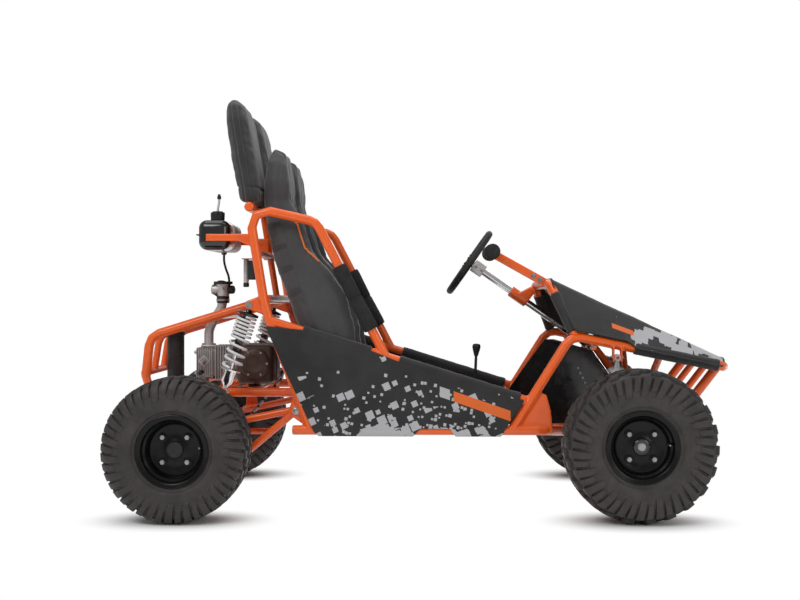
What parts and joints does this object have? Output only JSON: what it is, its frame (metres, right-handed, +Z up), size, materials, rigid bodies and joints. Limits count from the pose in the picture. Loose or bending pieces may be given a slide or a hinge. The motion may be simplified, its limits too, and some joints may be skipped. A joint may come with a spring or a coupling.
{
  "type": "two-seat off-road kart",
  "caption": "Open tube-frame off-road kart with side-by-side bucket seats, wishbone front and swing-arm rear suspension, fabric panels and knobbly tyres.",
  "frame": {"origin": "on the ground under the middle of the kart, midway between its front and rear ends", "axes": "+X towards the nose, +Y towards the left side (the driver's), +Z up"},
  "size_m": [2.0116, 1.235, 1.375],
  "materials": {
    "frame_paint": "bright orange powder coat, gloss",
    "panel_fabric": "black woven cloth with a light print",
    "seat_fabric": "charcoal quilted cloth",
    "headrest_fabric": "black sewn cloth",
    "foam": "black closed-cell foam",
    "tub_plastic": "black moulded plastic",
    "tank_plastic": "gloss black",
    "cap_plastic": "ribbed black",
    "engine_alloy": "cast alloy, crankcase bronze",
    "intake": "cast alloy with black rubber",
    "muffler_paint": "black heat paint with bright pipe",
    "chain_steel": "oiled steel",
    "axle_steel": "machined steel",
    "column_steel": "bright",
    "black_steel": "black, satin",
    "wheel_rim_paint": "black, gloss",
    "grip": "black moulded",
    "spring_paint": "white, gloss",
    "shock_chrome": "bright",
    "tyre_rubber": "knobbly tread"
  },
  "bodies": {
    "chassis": {"frame_rear": "frame_paint", "frame_front": "frame_paint", "hood_cover": "panel_fabric", "footwell_tub": "tub_plastic", "grab_bar": "frame_paint", "fuel_tank": "tank_plastic", "engine": "engine_alloy", "carburettor": "intake", "muffler": "muffler_paint", "frame_side_right": "frame_paint", "side_panel_right": "panel_fabric", "foam_grip_right": "foam", "headrest_right": "headrest_fabric", "seat_right": "seat_fabric", "frame_side_left": "frame_paint", "side_panel_left": "panel_fabric", "foam_grip_left": "foam", "headrest_left": "headrest_fabric", "seat_left": "seat_fabric"},
    "fuel_cap": {"fuel_cap": "cap_plastic"},
    "steering": {"steering_wheel": "grip", "steering_column": "column_steel"},
    "lower_shaft": {"steering_shaft": "column_steel"},
    "rack": {"steering_rack": "column_steel"},
    "shift_lever": {"shift_lever": "black_steel"},
    "brake_pedal": {"brake_pedal": "black_steel"},
    "throttle_pedal": {"throttle_pedal": "black_steel"},
    "swing_arm": {"swing_arm": "frame_paint", "chain": "chain_steel"},
    "rear_axle": {"rear_axle": "axle_steel", "rear_right_rim": "wheel_rim_paint", "rear_right_tyre": "tyre_rubber", "rear_left_rim": "wheel_rim_paint", "rear_left_tyre": "tyre_rubber"},
    "lower_arm_right": {"lower_arm_right": "frame_paint"},
    "upper_arm_right": {"upper_arm_right": "frame_paint"},
    "upright_right": {"upright_right": "frame_paint"},
    "knuckle_right": {"knuckle_right": "black_steel"},
    "tie_rod_right": {"tie_rod_right": "column_steel"},
    "front_wheel_right": {"front_right_rim": "wheel_rim_paint", "front_right_tyre": "tyre_rubber"},
    "front_shock_body_right": {"front_right_shock_body": "black_steel", "front_right_spring": "spring_paint"},
    "front_shock_rod_right": {"front_right_shock_rod": "shock_chrome"},
    "rear_shock_body_right": {"rear_right_shock_body": "black_steel", "rear_right_spring": "spring_paint"},
    "rear_shock_rod_right": {"rear_right_shock_rod": "shock_chrome"},
    "lower_arm_left": {"lower_arm_left": "frame_paint"},
    "upper_arm_left": {"upper_arm_left": "frame_paint"},
    "upright_left": {"upright_left": "frame_paint"},
    "knuckle_left": {"knuckle_left": "black_steel"},
    "tie_rod_left": {"tie_rod_left": "column_steel"},
    "front_wheel_left": {"front_left_rim": "wheel_rim_paint", "front_left_tyre": "tyre_rubber"},
    "front_shock_body_left": {"front_left_shock_body": "black_steel", "front_left_spring": "spring_paint"},
    "front_shock_rod_left": {"front_left_shock_rod": "shock_chrome"},
    "rear_shock_body_left": {"rear_left_shock_body": "black_steel", "rear_left_spring": "spring_paint"},
    "rear_shock_rod_left": {"rear_left_shock_rod": "shock_chrome"}
  },
  "joints": [
    {"name": "steering_turn", "type": "hinge", "parent": "chassis", "child": "steering", "pos_m": [0.1748, 0.19, 0.8381], "axis": [0.8211, 0, -0.5707], "range_deg": [-56, 56]},
    {"name": "lower_shaft_turn", "type": "hinge", "parent": "chassis", "child": "lower_shaft", "pos_m": [0.6223, 0.19, 0.527], "axis": [0.4875, -0.4239, -0.7633], "range_deg": [-56, 56]},
    {"name": "rack_slide", "type": "slide", "parent": "chassis", "child": "rack", "axis": [0, 1, 0], "range_m": [-0.05402, 0.05402]},
    {"name": "front_suspension_right", "type": "hinge", "parent": "chassis", "child": "lower_arm_right", "pos_m": [0.67978, -0.15, 0.23494], "axis": [-1, 0, 0], "range_deg": [-7.7, 12.9], "stiffness_Nm_per_rad": 1000, "springref_deg": -6.02},
    {"name": "upper_arm_pivot_right", "type": "hinge", "parent": "chassis", "child": "upper_arm_right", "pos_m": [0.67978, -0.15, 0.33494], "axis": [-1, 0, 0], "range_deg": [-7.7, 12.9]},
    {"name": "upright_pivot_right", "type": "hinge", "parent": "lower_arm_right", "child": "upright_right", "pos_m": [0.67978, -0.372, 0.20494], "axis": [-1, 0, 0], "range_deg": [-12.9, 7.7]},
    {"name": "kingpin_right", "type": "hinge", "parent": "upright_right", "child": "knuckle_right", "pos_m": [0.67978, -0.414, 0.24], "axis": [0, 0, 1], "range_deg": [-28, 28]},
    {"name": "front_wheel_spin_right", "type": "hinge", "parent": "knuckle_right", "child": "front_wheel_right", "pos_m": [0.67978, -0.5075, 0.2413], "axis": [0, 1, 0], "continuous": true},
    {"name": "tie_rod_pivot_right", "type": "hinge", "parent": "rack", "child": "tie_rod_right", "pos_m": [0.79478, -0.15, 0.23494], "axis": [-1, 0, 0], "range_deg": [-7.7, 12.9]},
    {"name": "front_shock_swing_right", "type": "hinge", "parent": "chassis", "child": "front_shock_body_right", "pos_m": [0.63271, -0.375, 0.51], "axis": [-1, 0, 0], "range_deg": [-2.58, 1.54]},
    {"name": "front_shock_slide_right", "type": "slide", "parent": "front_shock_body_right", "child": "front_shock_rod_right", "axis": [0, 0.2695, -0.963], "range_m": [-0.03107, 0.01855], "deforming": ["front_right_spring"]},
    {"name": "front_suspension_left", "type": "hinge", "parent": "chassis", "child": "lower_arm_left", "pos_m": [0.67978, 0.15, 0.23494], "axis": [1, 0, 0], "range_deg": [-7.7, 12.9], "stiffness_Nm_per_rad": 1000, "springref_deg": -6.02},
    {"name": "upper_arm_pivot_left", "type": "hinge", "parent": "chassis", "child": "upper_arm_left", "pos_m": [0.67978, 0.15, 0.33494], "axis": [1, 0, 0], "range_deg": [-7.7, 12.9]},
    {"name": "upright_pivot_left", "type": "hinge", "parent": "lower_arm_left", "child": "upright_left", "pos_m": [0.67978, 0.372, 0.20494], "axis": [1, 0, 0], "range_deg": [-12.9, 7.7]},
    {"name": "kingpin_left", "type": "hinge", "parent": "upright_left", "child": "knuckle_left", "pos_m": [0.67978, 0.414, 0.24], "axis": [0, 0, 1], "range_deg": [-28, 28]},
    {"name": "front_wheel_spin_left", "type": "hinge", "parent": "knuckle_left", "child": "front_wheel_left", "pos_m": [0.67978, 0.5075, 0.2413], "axis": [0, 1, 0], "continuous": true},
    {"name": "tie_rod_pivot_left", "type": "hinge", "parent": "rack", "child": "tie_rod_left", "pos_m": [0.79478, 0.15, 0.23494], "axis": [1, 0, 0], "range_deg": [-7.7, 12.9]},
    {"name": "front_shock_swing_left", "type": "hinge", "parent": "chassis", "child": "front_shock_body_left", "pos_m": [0.63271, 0.375, 0.51], "axis": [1, 0, 0], "range_deg": [-2.58, 1.54]},
    {"name": "front_shock_slide_left", "type": "slide", "parent": "front_shock_body_left", "child": "front_shock_rod_left", "axis": [0, -0.2695, -0.963], "range_m": [-0.03107, 0.01855], "deforming": ["front_left_spring"]},
    {"name": "rear_suspension", "type": "hinge", "parent": "chassis", "child": "swing_arm", "pos_m": [-0.41516, 0, 0.33495], "axis": [0, 1, 0], "range_deg": [-4.6, 10.6], "stiffness_Nm_per_rad": 4000, "springref_deg": -3.44, "deforming": ["chain"]},
    {"name": "rear_axle_spin", "type": "hinge", "parent": "swing_arm", "child": "rear_axle", "pos_m": [-0.77723, 0, 0.2286], "axis": [0, 1, 0], "continuous": true},
    {"name": "rear_shock_swing_right", "type": "hinge", "parent": "chassis", "child": "rear_shock_body_right", "pos_m": [-0.57019, -0.325, 0.682], "axis": [0, 1, 0], "range_deg": [-0.0921, 0.2121]},
    {"name": "rear_shock_slide_right", "type": "slide", "parent": "rear_shock_body_right", "child": "rear_shock_rod_right", "axis": [-0.2981, 0, -0.9545], "range_m": [-0.04649, 0.02018], "deforming": ["rear_right_spring"]},
    {"name": "rear_shock_swing_left", "type": "hinge", "parent": "chassis", "child": "rear_shock_body_left", "pos_m": [-0.57019, 0.325, 0.682], "axis": [0, 1, 0], "range_deg": [-0.0921, 0.2121]},
    {"name": "rear_shock_slide_left", "type": "slide", "parent": "rear_shock_body_left", "child": "rear_shock_rod_left", "axis": [-0.2981, 0, -0.9545], "range_m": [-0.04649, 0.02018], "deforming": ["rear_left_spring"]},
    {"name": "brake_pedal_press", "type": "hinge", "parent": "chassis", "child": "brake_pedal", "pos_m": [0.51277, 0.205, 0.318], "axis": [0, 1, 0], "range_deg": [0, 20], "stiffness_Nm_per_rad": 8, "springref_deg": -5.73},
    {"name": "throttle_pedal_press", "type": "hinge", "parent": "chassis", "child": "throttle_pedal", "pos_m": [0.51277, 0.125, 0.318], "axis": [0, 1, 0], "range_deg": [0, 20], "stiffness_Nm_per_rad": 5, "springref_deg": -8.59},
    {"name": "shift_lever_tilt", "type": "hinge", "parent": "chassis", "child": "shift_lever", "pos_m": [0.18477, 0.03, 0.33], "axis": [0, 1, 0], "range_deg": [-13, 13]},
    {"name": "fuel_cap_turn", "type": "hinge", "parent": "chassis", "child": "fuel_cap", "pos_m": [-0.69322, -0.25, 0.976], "axis": [0, 0, 1], "range_deg": [0, 90]}
  ],
  "couplings": [
    {"joint": "lower_shaft_turn", "follows": "steering_turn", "ratio": 1},
    {"joint": "rack_slide", "follows": "steering_turn", "m_per_rad": -0.05527},
    {"joint": "upper_arm_pivot_right", "follows": "front_suspension_right", "ratio": 1},
    {"joint": "upright_pivot_right", "follows": "front_suspension_right", "ratio": -1},
    {"joint": "kingpin_right", "follows": "steering_turn", "ratio": -0.5},
    {"joint": "tie_rod_pivot_right", "follows": "front_suspension_right", "ratio": 1},
    {"joint": "front_shock_swing_right", "follows": "front_suspension_right", "ratio": -0.2},
    {"joint": "front_shock_slide_right", "follows": "front_suspension_right", "m_per_rad": -0.138},
    {"joint": "upper_arm_pivot_left", "follows": "front_suspension_left", "ratio": 1},
    {"joint": "upright_pivot_left", "follows": "front_suspension_left", "ratio": -1},
    {"joint": "kingpin_left", "follows": "steering_turn", "ratio": -0.5},
    {"joint": "tie_rod_pivot_left", "follows": "front_suspension_left", "ratio": 1},
    {"joint": "front_shock_swing_left", "follows": "front_suspension_left", "ratio": -0.2},
    {"joint": "front_shock_slide_left", "follows": "front_suspension_left", "m_per_rad": -0.138},
    {"joint": "rear_shock_swing_right", "follows": "rear_suspension", "ratio": 0.02},
    {"joint": "rear_shock_slide_right", "follows": "rear_suspension", "m_per_rad": -0.2513},
    {"joint": "rear_shock_swing_left", "follows": "rear_suspension", "ratio": 0.02},
    {"joint": "rear_shock_slide_left", "follows": "rear_suspension", "m_per_rad": -0.2513}
  ]
}
